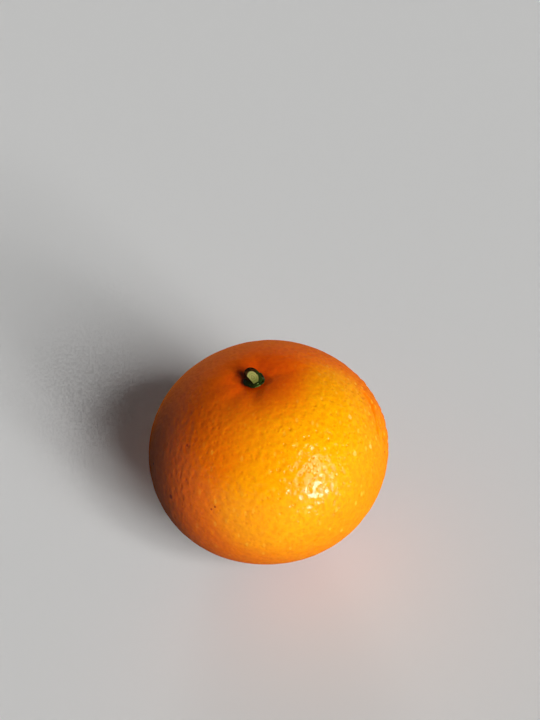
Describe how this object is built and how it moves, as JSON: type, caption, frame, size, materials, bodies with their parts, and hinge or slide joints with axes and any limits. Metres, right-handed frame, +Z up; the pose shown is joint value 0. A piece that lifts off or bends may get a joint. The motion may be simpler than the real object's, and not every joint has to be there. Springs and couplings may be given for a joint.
{
  "type": "orange",
  "caption": "Flattened mandarin-type orange with a furrowed hollow at its stem end, a small green calyx and a short cut stub of stem, lying on a small flat spot.",
  "frame": {"origin": "on the surface the fruit rests on, under the middle of its outline", "axes": "+Z up, +Y away from the side the stem's cut faces, +X to the right; the fruit's own axis leans 8 degrees from +Z towards -X"},
  "size_m": [0.0744, 0.0742, 0.0639],
  "materials": {
    "peel": "waxy peel with small oil-gland pits",
    "calyx": "smooth, slightly glossy dark green",
    "stem": "matt green wood with a thin dark bark"
  },
  "bodies": {
    "root": {"fruit": "peel", "calyx": "calyx", "stem": "stem"}
  },
  "joints": []
}
